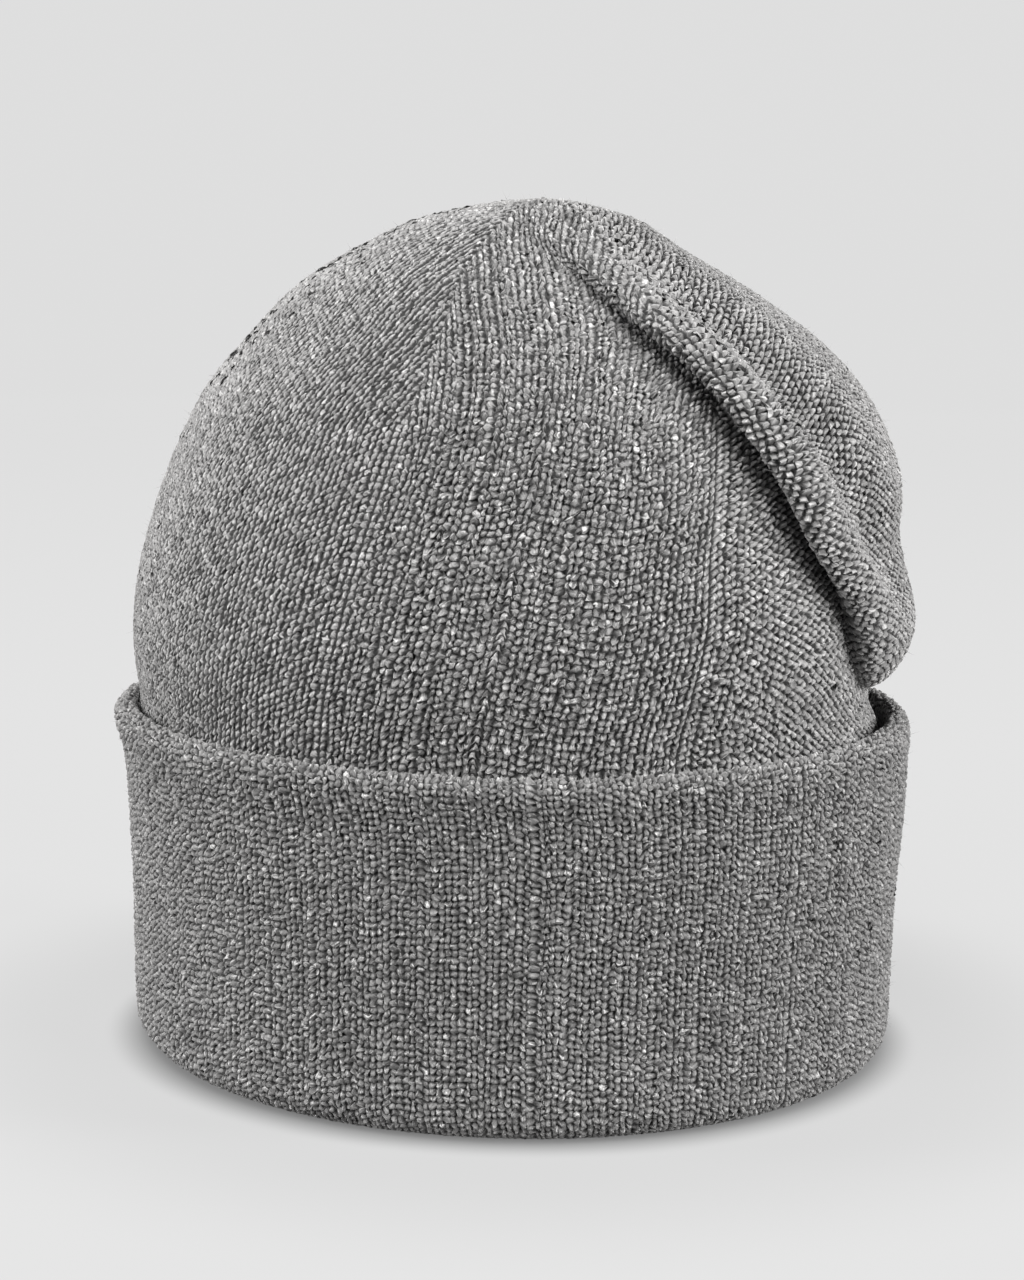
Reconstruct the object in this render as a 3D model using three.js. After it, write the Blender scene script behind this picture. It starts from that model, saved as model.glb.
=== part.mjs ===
// A plain knitted beanie that stands on its turned-up cuff.
// Millimetres, +Z up, +X to the wearer's left as the front is seen, front towards -Y.
// The origin is the centre of the head opening, on the surface that the cuff rests on.
import * as THREE from "three";

// Knitted walls and the play between the two layers
const CUFF_WALL = 4.2;
const CROWN_WALL = 3.2;
const SEAT_GAP = 0.35;

// Facets round the hat
const COLUMNS = 68;

// Where the crown's lower edge ends inside the cuff, and where the cuff's inner lip meets it
const CROWN_FOOT = 10;
const LIP_TOP = CROWN_FOOT - SEAT_GAP;

// The cuff's top edge rises a little at both sides, and less at the back
const SIDE_LIFT = 2.0;
const BACK_LIFT = 1.2;

const KNIT_GREY = 0x7a7776;

// Outer face of the cuff, from the flat that it stands on to the top of its rounded edge.
// Each row is one level section: how far it reaches from the axis to each side.
const CUFF_OUTSIDE = [
  { height: 0, left: 84.6, right: 86.0, front: 86.2, back: 86.2 },
  { height: 0.9, left: 87.2, right: 88.6, front: 88.8, back: 88.8 },
  { height: 3.4, left: 89.4, right: 90.6, front: 91.0, back: 91.0 },
  { height: 8.5, left: 91.2, right: 91.5, front: 92.1, back: 92.1 },
  { height: 36, left: 91.9, right: 92.0, front: 92.3, back: 92.3 },
  { height: 57, left: 92.8, right: 93.4, front: 92.9, back: 92.9 },
  { height: 68, left: 93.5, right: 93.7, front: 93.4, back: 93.4 },
  { height: 74, left: 95.0, right: 93.9, front: 94.7, back: 94.7 },
  { height: 77.2, left: 95.2, right: 93.7, front: 95.0, back: 95.0 },
  { height: 79.3, left: 93.4, right: 91.9, front: 93.0, back: 93.0 },
];

// The edge rolls over to the inside in two more sections
const CUFF_EDGE_INSIDE = [
  { height: 78.9, left: 91.5, right: 90.0, front: 91.1, back: 91.1 },
  { height: 76.3, left: 90.6, right: 89.1, front: 90.2, back: 90.2 },
];

// Inner side of the bottom fold
const CUFF_LIP_INSIDE = [
  { height: LIP_TOP, left: 83.3, right: 83.8, front: 84.3, back: 84.3 },
  { height: 1.4, left: 81.7, right: 83.1, front: 83.3, back: 83.3 },
  { height: 0, left: 82.2, right: 83.6, front: 83.8, back: 83.8 },
];

// Heights at which the crown follows the cuff's inner face
const CROWN_HELD_AT = [CROWN_FOOT, 36, 61];

// Free part of the crown without its fold. The last row is the top, which is one point.
const CROWN_FREE = [
  { height: 82, left: 90.2, right: 86.6, front: 88.8, back: 86.8 },
  { height: 96, left: 92.0, right: 90.0, front: 91.2, back: 90.5 },
  { height: 110, left: 91.3, right: 92.2, front: 91.2, back: 92.4 },
  { height: 125, left: 88.0, right: 90.4, front: 88.6, back: 90.4 },
  { height: 140, left: 83.0, right: 87.8, front: 84.4, back: 87.4 },
  { height: 155, left: 75.3, right: 81.2, front: 77.2, back: 81.2 },
  { height: 168, left: 64.5, right: 69.8, front: 66.0, back: 70.0 },
  { height: 180, left: 52.6, right: 54.4, front: 52.8, back: 55.0 },
  { height: 190, left: 36.6, right: 37.0, front: 37.0, back: 38.0 },
  { height: 197.0, left: 20.6, right: 24.2, front: 22, back: 23.5 },
  { height: 200.7, left: -3.5, right: 3.5, front: 0, back: 0 },
];

// Facet rows between one crown section and the next, closest where the fold runs level
const ROWS_PER_SPAN = [1, 1, 2, 4, 3, 3, 3, 3, 3, 3, 3, 2, 2];

// The slouch fold: a crease from near the top down the front right, then level round the right
// side, where the crown sags over the cuff. Azimuth is in degrees, 0 at +X and -90 at the front.
// depth is how far the crease sinks in, lap the width of its near flank, roll and valley the
// ridge and the hollow above it, and spread widens what lies above the crease.
const FOLD = [
  { azimuth: -90, height: 192, depth: 0, lap: 9, roll: 0, valley: 0, spread: 0.9 },
  { azimuth: -77, height: 183.3, depth: 4.5, lap: 9, roll: 1.4, valley: 0.8, spread: 1 },
  { azimuth: -71, height: 176, depth: 8.5, lap: 9, roll: 2.6, valley: 1.6, spread: 1 },
  { azimuth: -62, height: 164, depth: 11, lap: 9, roll: 3.4, valley: 2, spread: 1 },
  { azimuth: -53, height: 148, depth: 12, lap: 9, roll: 3.6, valley: 2.2, spread: 0.95 },
  { azimuth: -46, height: 132, depth: 12, lap: 9, roll: 3.6, valley: 2.2, spread: 1 },
  { azimuth: -39, height: 116, depth: 11, lap: 8.5, roll: 3.4, valley: 2.2, spread: 1.2 },
  { azimuth: -33, height: 102, depth: 9, lap: 7.5, roll: 3, valley: 2, spread: 1.4 },
  { azimuth: -23, height: 90.5, depth: 7, lap: 6, roll: 2.6, valley: 1.6, spread: 1.5 },
  { azimuth: -8, height: 84.5, depth: 5.5, lap: 5, roll: 2.2, valley: 0.8, spread: 1.5 },
  { azimuth: 15, height: 83, depth: 4.5, lap: 4.5, roll: 1.8, valley: 0.2, spread: 1.4 },
  { azimuth: 45, height: 83.5, depth: 3.5, lap: 4.5, roll: 1.4, valley: 0, spread: 1.3 },
  { azimuth: 80, height: 85.5, depth: 2.5, lap: 4.5, roll: 1, valley: 0, spread: 1.2 },
  { azimuth: 115, height: 89, depth: 0, lap: 4.5, roll: 0, valley: 0, spread: 1.1 },
];
const FOLD_SIZES = ["depth", "lap", "roll", "valley", "spread"];
const FOLD_STEPS = 140;
// Up to this row the fold runs down the crown, and the facet columns follow it
const FOLD_DIAGONAL_ROWS = 9;
// How far along the fold its sizes are blended
const FOLD_BLEND = 7;

// Section across the fold, as distances from the crease and half-widths
const CREASE_FAR_WIDTH = 4.5;
const ROLL_AT = 12;
const ROLL_WIDTH = 6.5;
const VALLEY_AT = 24;
const VALLEY_WIDTH = 5.5;
const RIDGE_AT = 36;
const RIDGE_WIDTH = 8;
const RIDGE_SHARE = 0.3;
// The roll leans over the crease by this share of its depth
const LEAN_SHARE = 0.33;
const LEAN_AT = 7;
const LEAN_WIDTH = 4;

// Soft hollows pressed into the dome
const HOLLOWS = [
  { azimuth: -138, height: 176, radius: 15, depth: 1.2 },
  { azimuth: -166, height: 142, radius: 18, depth: 0.8 },
  { azimuth: -98, height: 122, radius: 24, depth: 0.9 },
  { azimuth: 120, height: 150, radius: 26, depth: 2 },
];

const DEGREE = Math.PI / 180;

// Smooth values between the rows of a table, by a Catmull-Rom curve through each column
function blendRows(rows, at) {
  const first = Math.min(Math.max(Math.floor(at), 0), rows.length - 2);
  const u = at - first;
  const blended = {};
  for (const column of Object.keys(rows[0])) {
    const b = rows[first][column];
    const c = rows[first + 1][column];
    const a = first > 0 ? rows[first - 1][column] : 2 * b - c;
    const d = first + 2 < rows.length ? rows[first + 2][column] : 2 * c - b;
    const bend = (2 * a - 5 * b + 4 * c - d) * u * u;
    const twist = (3 * b - 3 * c + d - a) * u * u * u;
    blended[column] = 0.5 * (2 * b + (c - a) * u + bend + twist);
  }
  return blended;
}

// Straight values between the rows of a table that rises or falls steadily in one column
function lookUp(rows, column, value, wanted) {
  const rising = rows[rows.length - 1][column] > rows[0][column];
  const sign = rising ? 1 : -1;
  let i = 0;
  while (i < rows.length - 2 && sign * rows[i + 1][column] < sign * value) i += 1;
  const span = rows[i + 1][column] - rows[i][column];
  const u = Math.min(Math.max((value - rows[i][column]) / span, 0), 1);
  return rows[i][wanted] + u * (rows[i + 1][wanted] - rows[i][wanted]);
}

// One point of a level section, an oval through its four reaches
function sectionPoint(section, azimuth) {
  const { left, right, front, back, height } = section;
  return new THREE.Vector3(
    (right - left) / 2 + ((right + left) / 2) * Math.cos(azimuth),
    (back - front) / 2 + ((back + front) / 2) * Math.sin(azimuth),
    height,
  );
}

// The cuff's outer face moved inwards, at any height of its straight part
function insideCuff(height, inset) {
  const section = { height };
  for (const side of ["left", "right", "front", "back"]) {
    section[side] = lookUp(CUFF_OUTSIDE, "height", height, side) - inset;
  }
  return section;
}

// The section before the top as seen from the far side, which keeps the top round
function beyondTop() {
  const { height, left, right, front, back } = CROWN_FREE[CROWN_FREE.length - 2];
  return { height, left: -right, right: -left, front: -back, back: -front };
}

const CROWN_SECTIONS = [
  ...CROWN_HELD_AT.map((height) => insideCuff(height, CUFF_WALL + SEAT_GAP)),
  ...CROWN_FREE,
  beyondTop(),
];
const TOP_LEVEL = CROWN_SECTIONS.length - 2;

function domePoint(azimuth, level) {
  return sectionPoint(blendRows(CROWN_SECTIONS, level), azimuth);
}

function domeNormal(azimuth, level) {
  const step = 1e-3;
  const at = Math.min(level, TOP_LEVEL - 20 * step);
  const round = domePoint(azimuth + step, at).sub(domePoint(azimuth - step, at));
  const up = domePoint(azimuth, at + step).sub(domePoint(azimuth, at - step));
  return round.cross(up).normalize();
}

// Level of the crown table at a height, by halving
function levelAt(height) {
  let low = 0;
  let high = TOP_LEVEL;
  for (let i = 0; i < 40; i += 1) {
    const middle = (low + high) / 2;
    if (blendRows(CROWN_SECTIONS, middle).height < height) low = middle;
    else high = middle;
  }
  return low;
}

// Points along the crease, each with the fold's sizes and the direction across it, up the roll
function foldLine() {
  const line = [];
  for (let i = 0; i < FOLD_STEPS; i += 1) {
    const sizes = blendRows(FOLD, (i * (FOLD.length - 1)) / (FOLD_STEPS - 1));
    const azimuth = sizes.azimuth * DEGREE;
    const level = levelAt(sizes.height);
    const point = domePoint(azimuth, level);
    line.push({ sizes, point, normal: domeNormal(azimuth, level) });
  }
  line.forEach((place, i) => {
    const before = line[Math.max(i - 1, 0)].point;
    const after = line[Math.min(i + 1, FOLD_STEPS - 1)].point;
    const along = after.clone().sub(before);
    place.across = place.normal.clone().cross(along).normalize();
  });
  return line;
}

const FOLD_LINE = foldLine();

// Distance from the crease and the fold's sizes at a point of the dome
function foldAt(point) {
  const squares = FOLD_LINE.map((place) => place.point.distanceToSquared(point));
  const nearest = Math.min(...squares);
  const found = { distance: 0, across: new THREE.Vector3() };
  for (const size of FOLD_SIZES) found[size] = 0;
  let total = 0;
  FOLD_LINE.forEach((place, i) => {
    const weight = Math.exp((nearest - squares[i]) / (2 * FOLD_BLEND ** 2));
    total += weight;
    found.distance += weight * point.clone().sub(place.point).dot(place.across);
    found.across.addScaledVector(place.across, weight);
    for (const size of FOLD_SIZES) found[size] += weight * place.sizes[size];
  });
  for (const size of ["distance", ...FOLD_SIZES]) found[size] /= total;
  return found;
}

function bump(distance, centre, width) {
  return Math.exp(-(((distance - centre) / width) ** 2));
}

function hollowDepth(point) {
  return HOLLOWS.reduce((sum, hollow) => {
    const centre = domePoint(hollow.azimuth * DEGREE, levelAt(hollow.height));
    return sum + hollow.depth * bump(point.distanceTo(centre), 0, hollow.radius);
  }, 0);
}

// The crown's outer surface: the dome with its fold and hollows
function crownPoint(azimuth, level) {
  const point = domePoint(azimuth, level);
  const normal = domeNormal(azimuth, level);
  const fold = foldAt(point);
  const spreadDistance = fold.distance / fold.spread;
  const creaseWidth = fold.distance < 0 ? fold.lap : CREASE_FAR_WIDTH * fold.spread;
  const crease = -fold.depth * bump(fold.distance, 0, creaseWidth);
  const roll = fold.roll * bump(spreadDistance, ROLL_AT, ROLL_WIDTH);
  const valley = -fold.valley * bump(spreadDistance, VALLEY_AT, VALLEY_WIDTH);
  const ridge = RIDGE_SHARE * fold.valley * bump(spreadDistance, RIDGE_AT, RIDGE_WIDTH);
  const lean = -LEAN_SHARE * fold.depth * bump(spreadDistance, LEAN_AT, LEAN_WIDTH);
  const across = fold.across.addScaledVector(normal, -fold.across.dot(normal)).normalize();
  const rise = crease + roll + valley + ridge - hollowDepth(point);
  return point.addScaledVector(normal, rise).addScaledVector(across, lean);
}

// Facet columns lie close together at the fold and follow it down the crown
function columnAzimuth(column, height) {
  const evenShare = 0.55;
  const u = (2 * column) / COLUMNS - 1;
  const turn = 180 * (evenShare * u + (1 - evenShare) * u ** 3);
  const diagonal = FOLD.slice(0, FOLD_DIAGONAL_ROWS);
  return (lookUp(diagonal, "height", height, "azimuth") + turn) * DEGREE;
}

function crownLevels() {
  const levels = [];
  ROWS_PER_SPAN.forEach((rows, span) => {
    for (let i = 0; i < rows; i += 1) levels.push(span + i / rows);
  });
  return levels;
}

// Rings of points joined to a skin. Rows run up, columns run round towards +Y, and each
// four-cornered face is split along its shorter diagonal.
function skinIndex(points, rows, top) {
  const index = [];
  for (let row = 0; row < rows - 1; row += 1) {
    for (let column = 0; column < COLUMNS; column += 1) {
      const next = (column + 1) % COLUMNS;
      const a = row * COLUMNS + column;
      const b = row * COLUMNS + next;
      const c = b + COLUMNS;
      const d = a + COLUMNS;
      if (points[a].distanceTo(points[c]) < points[b].distanceTo(points[d])) {
        index.push(a, b, c, a, c, d);
      } else {
        index.push(a, b, d, b, c, d);
      }
    }
  }
  for (let column = 0; column < COLUMNS; column += 1) {
    const a = (rows - 1) * COLUMNS + column;
    const b = (rows - 1) * COLUMNS + ((column + 1) % COLUMNS);
    index.push(a, b, top);
  }
  return index;
}

function geometryOf(points, index) {
  const geometry = new THREE.BufferGeometry().setFromPoints(points);
  geometry.setIndex(index);
  geometry.computeVertexNormals();
  return geometry;
}

// Crown: an outer and an inner skin, one wall apart, joined along the lower edge
function makeCrown() {
  const levels = crownLevels();
  const outside = [];
  for (const level of levels) {
    const height = blendRows(CROWN_SECTIONS, level).height;
    for (let column = 0; column < COLUMNS; column += 1) {
      outside.push(crownPoint(columnAzimuth(column, height), level));
    }
  }
  outside.push(crownPoint(0, TOP_LEVEL));
  const top = outside.length - 1;
  const skin = skinIndex(outside, levels.length, top);
  const normals = geometryOf(outside, skin).getAttribute("normal");
  const inside = outside.map((point, i) => {
    const inwards = new THREE.Vector3().fromBufferAttribute(normals, i).negate();
    if (i < COLUMNS) inwards.setZ(0).normalize();
    return point.clone().addScaledVector(inwards, CROWN_WALL);
  });
  const shift = outside.length;
  const index = [...skin];
  for (let i = 0; i < skin.length; i += 3) {
    index.push(skin[i] + shift, skin[i + 2] + shift, skin[i + 1] + shift);
  }
  for (let column = 0; column < COLUMNS; column += 1) {
    const next = (column + 1) % COLUMNS;
    index.push(column, column + shift, next + shift, column, next + shift, next);
  }
  return geometryOf([...outside, ...inside], index);
}

// How much the cuff's top edge is lifted at an azimuth
function edgeLift(azimuth) {
  const side = SIDE_LIFT * Math.cos(azimuth) ** 2;
  const back = BACK_LIFT * Math.max(Math.sin(azimuth), 0) ** 2;
  return side + back;
}

// Cuff: one closed section led round the hat
function makeCuff() {
  const edge = CUFF_OUTSIDE[CUFF_OUTSIDE.length - 1].height;
  const sections = [
    ...CUFF_OUTSIDE,
    ...CUFF_EDGE_INSIDE,
    insideCuff(68, CUFF_WALL),
    insideCuff(36, CUFF_WALL),
    insideCuff(LIP_TOP, CUFF_WALL),
    ...CUFF_LIP_INSIDE,
  ];
  const points = [];
  for (const section of sections) {
    for (let column = 0; column < COLUMNS; column += 1) {
      const azimuth = (360 * DEGREE * column) / COLUMNS;
      const point = sectionPoint(section, azimuth);
      point.z += edgeLift(azimuth) * (section.height / edge) ** 2;
      points.push(point);
    }
  }
  const index = [];
  sections.forEach((section, row) => {
    const above = (row + 1) % sections.length;
    for (let column = 0; column < COLUMNS; column += 1) {
      const next = (column + 1) % COLUMNS;
      const a = row * COLUMNS + column;
      const b = row * COLUMNS + next;
      const c = above * COLUMNS + next;
      const d = above * COLUMNS + column;
      index.push(a, b, c, a, c, d);
    }
  });
  return geometryOf(points, index);
}

function knitMesh(name, geometry) {
  const material = new THREE.MeshStandardMaterial({
    color: KNIT_GREY,
    roughness: 0.95,
    metalness: 0,
  });
  const mesh = new THREE.Mesh(geometry, material);
  mesh.name = name;
  return mesh;
}

const beanie = new THREE.Group();
beanie.add(knitMesh("crown", makeCrown()));
beanie.add(knitMesh("cuff", makeCuff()));

export default beanie;
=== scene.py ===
import bpy
import math
import numpy as np
from mathutils import Matrix, Vector


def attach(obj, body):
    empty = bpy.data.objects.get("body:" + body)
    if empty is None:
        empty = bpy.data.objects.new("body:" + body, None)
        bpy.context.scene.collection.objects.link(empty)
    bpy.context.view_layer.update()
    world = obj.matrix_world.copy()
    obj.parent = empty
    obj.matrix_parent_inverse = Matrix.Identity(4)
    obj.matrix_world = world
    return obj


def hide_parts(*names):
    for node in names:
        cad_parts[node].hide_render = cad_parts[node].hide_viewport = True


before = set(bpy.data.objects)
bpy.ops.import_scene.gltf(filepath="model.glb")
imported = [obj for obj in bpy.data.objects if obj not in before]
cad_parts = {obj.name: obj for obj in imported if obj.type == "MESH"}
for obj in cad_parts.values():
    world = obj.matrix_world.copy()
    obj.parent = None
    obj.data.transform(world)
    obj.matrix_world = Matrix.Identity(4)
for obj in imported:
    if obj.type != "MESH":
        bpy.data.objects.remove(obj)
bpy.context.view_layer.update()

# The surface's own sizes are in millimetres, as in the CAD source
MM = 0.001
DEGREE = math.pi / 180

# Knitted walls, and the height from which the crown's outside is knitted in full
CUFF_WALL = 4.2
CROWN_WALL = 3.2
SEAT_GAP = 0.35
CROWN_FOOT = 10
PANEL_FOOT = 69

# How much higher the cuff's top edge is at the sides and at the back than in front
SIDE_LIFT = 2.0
BACK_LIFT = 1.2

# Size of one stitch round the hat and up the hat
CROWN_WALE = 1.59
CROWN_COURSE = 1.7
CUFF_WALE = 1.56
CUFF_COURSE = 1.53

# Mesh cells in one stitch, each way
CELLS = 3

# Lines where the crown is narrowed, by azimuth. The panel in front lies between the first two.
DARTS = (-102, -58, 5, 68, 131, 194, 258)

# How high the knit stands on each of these lines, in the same measure as the stitches below
DART_HEIGHT = (-0.6, -0.6, -0.4, -0.2, -0.2, -0.2)
TOP_HEIGHT = -0.3

# Width of the wales in each panel: the knit is stretched more at the back
PANEL_WALES = (1.46, 1.54, 1.62, 1.72, 1.68, 1.6)
CUFF_STRETCH = 0.05

# Height of the stitches above the gaps between them
CROWN_RELIEF = 0.8
CUFF_RELIEF = 0.75

# Loose fibres of the yarn: their number, length and radius, their angle out of the knit in
# radians, and how deep they start
CROWN_FUZZ, CUFF_FUZZ = 4500, 2500
FUZZ_LENGTH = (0.8, 2.8)
FUZZ_RADIUS = 0.05
FUZZ_LIFT = (0.2, 1.2)
FUZZ_SINK = 0.1

# Wavering of the worn knit: number of each wave round the hat, and its rate up the hat
WAVES = ((3, 0.021), (7, 0.05), (13, 0.09), (29, 0.17))

# How far it goes: round the hat in radians, up it in courses and out of it in millimetres
CROWN_WAVER = (0.006, 0.35, 0.3)
CUFF_WAVER = (0.004, 0.25, 0.25)

# Courses below the top over which the wavering dies away
CROWN_FADE = 20

# Seeds of all random draws
CROWN_SEED, CUFF_SEED = 11, 21
CROWN_FUZZ_SEED, CUFF_FUZZ_SEED = 31, 32
CROWN_WAVER_SEEDS = (5, 6, 7)
CUFF_WAVER_SEEDS = (8, 9, 10)

# Coarse inner skins: their columns, the rows outside and inside the crown, how far the outer
# ones go up behind the panels, the rows in each span of the cuff, and the length round them
CROWN_SKIN_COLUMNS, CUFF_SKIN_COLUMNS = 108, 120
COVERED_ROWS, INNER_ROWS, COVERED_PAST = 8, 46, 2
INNER_TOP = 0.02
CUFF_SKIN_ROWS = 4
SKIN_ROUND = 570

# How far the worn crown's wales have swung to the left at their lower ends
SWING = 18
SWING_AZIMUTH, SWING_WIDTH = -125, 80

# The crown keeps all its wales until it has narrowed to this share of its widest
FIRST_DART_SHARE = 0.89

# Mean radius of the cuff's knit
CUFF_RADIUS = 92.5

# Outer face of the cuff: height, and reach to the left, right, front and back
CUFF_OUTSIDE = np.array([
    (0, 84.6, 86.0, 86.2, 86.2),
    (0.9, 87.2, 88.6, 88.8, 88.8),
    (3.4, 89.4, 90.6, 91.0, 91.0),
    (8.5, 91.2, 91.5, 92.1, 92.1),
    (36, 91.9, 92.0, 92.3, 92.3),
    (57, 93.0, 93.4, 92.9, 92.9),
    (68, 94.1, 93.7, 93.4, 93.4),
    (74, 95.9, 93.9, 94.7, 94.7),
    (77.2, 96.2, 93.7, 95.0, 95.0),
    (79.3, 94.4, 91.9, 93.0, 93.0),
], float)
CUFF_EDGE_INSIDE = np.array([
    (78.9, 92.5, 90.0, 91.1, 91.1),
    (76.3, 91.4, 89.1, 90.2, 90.2),
], float)
CUFF_LIP_INSIDE = np.array([
    (CROWN_FOOT - SEAT_GAP, 83.3, 83.8, 84.3, 84.3),
    (1.4, 81.7, 83.1, 83.3, 83.3),
    (0, 82.2, 83.6, 83.8, 83.8),
], float)
CUFF_HELD_AT = (68, 36, CROWN_FOOT - SEAT_GAP)
CROWN_HELD_AT = (CROWN_FOOT, 36, 61)
CROWN_FREE = np.array([
    (82, 90.2, 86.6, 88.8, 86.8),
    (96, 92.0, 90.0, 91.2, 90.5),
    (110, 91.3, 92.2, 91.2, 92.4),
    (125, 88.0, 90.4, 88.6, 90.4),
    (140, 83.2, 88.8, 84.4, 87.4),
    (155, 75.7, 82.4, 77.2, 81.2),
    (168, 65.1, 71.0, 66.0, 70.0),
    (180, 53.6, 54.9, 52.8, 55.0),
    (190, 37.8, 37.0, 37.0, 38.0),
    (197, 21.4, 24.2, 22.0, 23.5),
    (200.7, -3.5, 3.5, 0, 0),
], float)

# The slouch fold: azimuth, height, depth, lap, roll, valley and spread
FOLD = np.array([
    (-90, 192, 0, 15, 0, 0, 0.9),
    (-77, 183.3, 2.2, 15, 1.4, 0.8, 1),
    (-71, 176, 4.8, 15, 3, 2.2, 1),
    (-62, 164, 7.2, 16, 4.6, 3.2, 1),
    (-54.3, 147.3, 7.6, 17, 4.9, 3.8, 1),
    (-47.3, 131.3, 7.4, 15, 4.8, 3.8, 1),
    (-39.6, 115.6, 6.6, 13, 4.2, 3.2, 1),
    (-33.5, 102, 5, 9, 3.7, 2.4, 1.2),
    (-25.5, 91, 4, 6, 3.4, 1.4, 1.6),
    (-11, 85.6, 3.5, 5, 2.9, 0.6, 1.9),
    (15, 84, 3, 4.5, 2.3, 0.2, 2),
    (45, 84, 2.5, 4.5, 1.7, 0, 2),
    (80, 85.5, 2, 4.5, 1, 0, 1.5),
    (115, 89, 0, 4.5, 0, 0, 1),
], float)
LEVEL_STEPS = 4000
FOLD_STEPS = 140
FOLD_BLEND = 7
FOLD_CHUNK = 20000

# Across the fold, from the crease: where each form lies, how wide it is, and how strong. Tuck
# and lean push the knit along its own surface, so that the roll overhangs the crease.
CREASE_AT, CREASE_FAR_WIDTH = 0.5, 3.2
ROLL_AT, ROLL_WIDTH = 9.5, 4.8
VALLEY_AT, VALLEY_WIDTH = 21, 6
RIDGE_AT, RIDGE_WIDTH, RIDGE_SHARE = 34, 8, 0.3
TUCK_AT, TUCK_WIDTH, TUCK_FAR_WIDTH, TUCK_SHARE = 0, 12, 3.4, 1.15
LEAN_AT, LEAN_WIDTH, LEAN_FAR_WIDTH, LEAN_SHARE = 6.5, 4, 7, 1.25

# Soft hollows in the dome: azimuth, height, radius and depth
HOLLOWS = (
    (-138, 176, 15, 1.2),
    (-166, 142, 18, 0.8),
    (-98, 122, 24, 0.9),
    (-12, 183, 22, 0.9),
    (120, 150, 26, 2.0),
)

# Courses are measured at this many azimuths and levels, and their levels smoothed round the hat
COURSE_AZIMUTHS = 180
COURSE_LEVELS = 400
COURSE_SMOOTHINGS = 12
NEAR_TOP = 0.001

# The change from front to sides, by the share of the courses: soft low down, sharp at the top
SOFT_AT, SOFT_WIDTH = (0, 0.45, 0.75), (0.7, 0.35, 0.05)

# Distance from a dart line, in wales, from which stitches lie unevenly, stand at full height,
# and exist at all, and the least share of their height
DART_EVEN, DART_LOW, DART_GAP = 0.9, 0.5, 0.15
DART_LEAST = 0.25

# Below this height the cuff holds the crown: where its relief starts to grow, over how many
# millimetres, and its share below
HELD_FROM, HELD_OVER, HELD_RELIEF = 68, 8, 0.35

# Height within a stitch that lies on the knit's own surface
RELIEF_LEVEL = 0.1

# Height up to which the cuff's stitches are pressed flat, height up to which it wavers less,
# and the courses over which its relief ends at the inner edge
CUFF_FLAT_TO, CUFF_CALM_TO, CUFF_END = 3, 12, 2
CUFF_LEVELS = 600

# Stitch counts are set apart by these, so that no two pieces have the same stitches
PANEL_APART, CUFF_APART = 100, 1000

# Shape of one stitch on its cells: place across and up it, and height, for each cell corner.
# The first corner each way lies in the gap that it shares with its neighbour. In front the
# crown's stitches are drops that lie like bricks, and at the sides its wales are like ropes.
BRICK_ACROSS = np.array([[0, 0.33, 0.67], [0, 0.26, 0.74], [0, 0.37, 0.63]])
BRICK_UP = np.array([[0, 0.28, 0.74], [0, 0.26, 0.64], [0, 0.26, 0.64]])
BRICK_HEIGHT = np.array([[0.0, -0.5, -0.5], [-0.8, 1.0, 1.0], [-0.75, 0.8, 0.8]])
BRICK_STAGGER = 0.25
BRICK_ZIGZAG = 0.15
ROPE_ACROSS = np.array([[0, 0.28, 0.72], [0, 0.3, 0.68], [0, 0.32, 0.7]])
ROPE_UP = np.array([[0, 0.33, 0.67], [-0.2, 0.1, 0.44], [0.2, 0.54, 0.88]])
ROPE_HEIGHT = np.array([[-1.1, -0.85, -0.85], [-1.1, 0.85, 0.95], [-1.1, 0.95, 0.8]])
ROPE_STAGGER = 0.22
ROPE_ZIGZAG = 0.06
GRAIN_ACROSS = np.array([[0, 0.25, 0.75], [0, 0.22, 0.78], [0, 0.22, 0.78]])
GRAIN_UP = np.array([[0, 0.33, 0.67], [-0.1, 0.22, 0.5], [0.1, 0.42, 0.72]])
GRAIN_HEIGHT = np.array([[-1.1, -0.9, -0.9], [-0.3, 0.95, 1.0], [-0.3, 0.95, 0.85]])
GRAIN_STAGGER = 0.22
GRAIN_ZIGZAG = 0.15
CUFF_ACROSS = np.array([[0, 0.32, 0.68], [0, 0.27, 0.73], [0, 0.33, 0.67]])
CUFF_UP = np.array([[0, 0.3, 0.7], [0, 0.3, 0.68], [0, 0.3, 0.68]])
CUFF_HEIGHT = np.array([[-1.2, -0.35, -0.35], [-0.45, 1.0, 1.0], [-0.5, 0.9, 0.9]])
CUFF_STAGGER = 0.12
CUFF_ZIGZAG = 0.08
BRICK_SHAPE = (BRICK_ACROSS, BRICK_UP, BRICK_HEIGHT, BRICK_STAGGER, BRICK_ZIGZAG)
ROPE_SHAPE = (ROPE_ACROSS, ROPE_UP, ROPE_HEIGHT, ROPE_STAGGER, ROPE_ZIGZAG)
GRAIN_SHAPE = (GRAIN_ACROSS, GRAIN_UP, GRAIN_HEIGHT, GRAIN_STAGGER, GRAIN_ZIGZAG)
CUFF_SHAPE = (CUFF_ACROSS, CUFF_UP, CUFF_HEIGHT, CUFF_STAGGER, CUFF_ZIGZAG)

# Unevenness of the stitches: how far whole wales drift and lean, sizes, slides and gaps of
# single stitches, and each corner's own unevenness across, up and out
WALE_DRIFT = 0.28
WALE_LEAN = 0.13
STITCH_SIZES = (0.45, 1.25)
STITCH_SLIDE = 0.16
GAP_NOTCH = 0.5
UNEVEN = (0.07, 0.07, 0.1)

# Panels of the fold's roll and the lobe, whose stitches are like grains, and how far these
# are shaded like ropes
GRAIN_PANELS = (1, 2)
GRAIN_SHOWN = 0.65

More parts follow.
